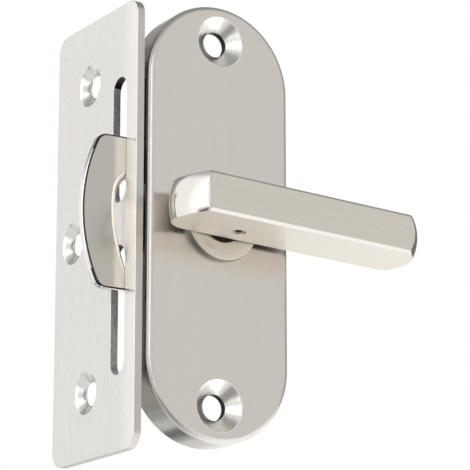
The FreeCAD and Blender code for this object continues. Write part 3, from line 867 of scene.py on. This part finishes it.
class LATCH_OT_inner_parts(bpy.types.Operator):
    """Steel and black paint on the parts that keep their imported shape"""
    bl_idname = "latch.inner_parts"
    bl_label = "Inner parts"

    def execute(self, context):
        finish = context.scene.latch_finish
        plain = rough_cut_metal("inner_plain_steel", finish.inner_steel, 0.42, [0.0009, 0.0009, 0.0003],
                                0.12, 1.5e-6)
        pins = polished_metal("pin_ground_steel", finish.inner_steel, 0.28)
        spring = polished_metal("spring_blue_steel", finish.inner_steel, 0.33)
        keeper = moulded_plastic("keeper_black_paint", finish.keeper_paint, 0.55)
        choice = {
            "backing_plate": plain, "detent_spring": spring, "spring_rivet": pins, "lever_grub_screw": pins,
            "spindle": pins, "hook_keeper": keeper, "drive_hub": plain,
        }
        for node, material in choice.items():
            for place in NODES[node].material_slots:
                place.material = material
        return {"FINISHED"}


class LATCH_OT_studio(bpy.types.Operator):
    """Plain pale floor, white backdrop, soft lamps and the camera"""
    bl_idname = "latch.studio"
    bl_label = "Studio"

    def execute(self, context):
        studio = context.scene.latch_studio
        context.scene.view_settings.view_transform = "Standard"
        make_world(context, studio)
        make_floor(context, studio)
        make_lamps(context, studio)
        make_camera(context)
        return {"FINISHED"}


def make_card(tree, bearing, rise, behind, card):
    # Lays one soft edged card over the level of what is behind it
    name, turn, lift, half_wide, half_high, soft, level = card
    across = value_node(tree, "SUBTRACT", bearing, math.radians(turn))
    across = value_node(tree, "WRAP", across, math.pi, -math.pi)
    along = value_node(tree, "SUBTRACT", rise, math.radians(lift))
    covers = []
    for gap, half in ((across, half_wide), (along, half_high)):
        edge = tree.nodes.new("ShaderNodeMapRange")
        edge.interpolation_type = "SMOOTHSTEP"
        edge.inputs["From Min"].default_value = math.radians(half + soft)
        edge.inputs["From Max"].default_value = math.radians(half - soft)
        tree.links.new(value_node(tree, "ABSOLUTE", gap), edge.inputs["Value"])
        covers.append(edge.outputs["Result"])
    mix = tree.nodes.new("ShaderNodeMix")
    mix.label = name
    tree.links.new(value_node(tree, "MULTIPLY", covers[0], covers[1]), mix.inputs["Factor"])
    mix.inputs["B"].default_value = level
    if isinstance(behind, float):
        mix.inputs["A"].default_value = behind
    else:
        tree.links.new(behind, mix.inputs["A"])
    return mix.outputs["Result"]


def make_world(context, studio):
    # White for the camera, and for the metal a plain room with soft boxes and grey cards
    world = bpy.data.worlds.new("studio_world")
    context.scene.world = world
    world.use_nodes = True
    tree = world.node_tree
    tree.nodes.clear()
    output = tree.nodes.new("ShaderNodeOutputWorld")
    room = tree.nodes.new("ShaderNodeBackground")
    room.inputs["Color"].default_value = (1.0, 1.0, 1.0, 1.0)
    white = tree.nodes.new("ShaderNodeBackground")
    white.inputs["Color"].default_value = (1.0, 1.0, 1.0, 1.0)
    white.inputs["Strength"].default_value = 1.0
    place = tree.nodes.new("ShaderNodeTexCoord")
    parts = tree.nodes.new("ShaderNodeSeparateXYZ")
    tree.links.new(place.outputs["Generated"], parts.inputs["Vector"])
    bearing = value_node(tree, "ARCTAN2", parts.outputs["X"], parts.outputs["Y"])
    rise = value_node(tree, "ARCSINE", parts.outputs["Z"])
    level = studio.room_level
    for card in ROOM:
        level = make_card(tree, bearing, rise, level, card)
    tree.links.new(level, room.inputs["Strength"])
    path = tree.nodes.new("ShaderNodeLightPath")
    mix = tree.nodes.new("ShaderNodeMixShader")
    tree.links.new(path.outputs["Is Camera Ray"], mix.inputs["Fac"])
    tree.links.new(room.outputs["Background"], mix.inputs[1])
    tree.links.new(white.outputs["Background"], mix.inputs[2])
    tree.links.new(mix.outputs["Shader"], output.inputs["Surface"])


def make_floor(context, studio):
    z = PLATE_FOOT - studio.floor_drop
    corners = [(-FLOOR_HALF, -FLOOR_HALF, z), (FLOOR_HALF, -FLOOR_HALF, z),
               (FLOOR_HALF, FLOOR_HALF, z), (-FLOOR_HALF, FLOOR_HALF, z)]
    mesh = bpy.data.meshes.new("studio_floor")
    mesh.from_pydata(corners, [], [(0, 1, 2, 3)])
    floor = bpy.data.objects.new("studio_floor", mesh)
    context.scene.collection.objects.link(floor)
    material, tree, shader = start_material("floor_paper", 0.0, 0.9)
    paper = stretched_noise(tree, [0.004, 0.004, 0.004])
    tree.links.new(tinted(tree, studio.floor_colour, paper, 0.01), shader.inputs["Base Color"])
    mesh.materials.append(material)
    floor.visible_glossy = False


def make_lamps(context, studio):
    for name, place, width, height in LAMPS:
        light = bpy.data.lights.new(name, "AREA")
        light.shape = "RECTANGLE"
        light.size = width
        light.size_y = height
        light.energy = studio.key_power
        lamp = bpy.data.objects.new(name, light)
        context.scene.collection.objects.link(lamp)
        away = Vector(place).normalized()
        lamp.matrix_world = Matrix.Translation(place) @ away.to_track_quat("Z", "Y").to_matrix().to_4x4()
        lamp.visible_glossy = False


def make_camera(context):
    level = math.cos(CAMERA_RISE)
    look = Vector((math.sin(CAMERA_TURN) * level, math.cos(CAMERA_TURN) * level, math.sin(CAMERA_RISE)))
    right = Vector((math.cos(CAMERA_TURN), -math.sin(CAMERA_TURN), 0.0))
    up = right.cross(look)
    data = bpy.data.cameras.new("camera")
    data.sensor_width = CAMERA_SENSOR
    data.lens = CAMERA_LENS
    data.clip_start = 0.01
    data.clip_end = 20.0
    camera = bpy.data.objects.new("camera", data)
    context.scene.collection.objects.link(camera)
    pose = Matrix((right, up, -look)).transposed().to_4x4()
    pose.translation = CAMERA_TARGET - look * CAMERA_DISTANCE
    camera.matrix_world = pose
    context.scene.camera = camera


class LATCH_PT_panel(bpy.types.Panel):
    """Lists the steps that dress the latch"""
    bl_idname = "LATCH_PT_panel"
    bl_label = "Door latch"
    bl_space_type = "VIEW_3D"
    bl_region_type = "UI"
    bl_category = "Latch"

    def draw(self, context):
        column = self.layout.column(align=True)
        for step in STEPS:
            column.operator(step.bl_idname)
        for group in (context.scene.latch_sizes, context.scene.latch_finish, context.scene.latch_studio):
            box = self.layout.box()
            for name in group.__annotations__:
                box.prop(group, name)


STEPS = (
    LATCH_OT_case,
    LATCH_OT_edge_plate,
    LATCH_OT_hook,
    LATCH_OT_lever,
    LATCH_OT_rings,
    LATCH_OT_pins,
    LATCH_OT_inner_parts,
    LATCH_OT_studio,
)
CLASSES = (LatchSizes, LatchFinish, LatchStudio) + STEPS + (LATCH_PT_panel,)


def register():
    for item in CLASSES:
        bpy.utils.register_class(item)
    bpy.types.Scene.latch_sizes = bpy.props.PointerProperty(type=LatchSizes)
    bpy.types.Scene.latch_finish = bpy.props.PointerProperty(type=LatchFinish)
    bpy.types.Scene.latch_studio = bpy.props.PointerProperty(type=LatchStudio)


def unregister():
    del bpy.types.Scene.latch_studio
    del bpy.types.Scene.latch_finish
    del bpy.types.Scene.latch_sizes
    for item in reversed(CLASSES):
        bpy.utils.unregister_class(item)


def main():
    register()
    bpy.ops.latch.case()
    bpy.ops.latch.edge_plate()
    bpy.ops.latch.hook()
    bpy.ops.latch.lever()
    bpy.ops.latch.rings()
    bpy.ops.latch.pins()
    bpy.ops.latch.inner_parts()
    bpy.ops.latch.studio()


if __name__ == "__main__":
    main()
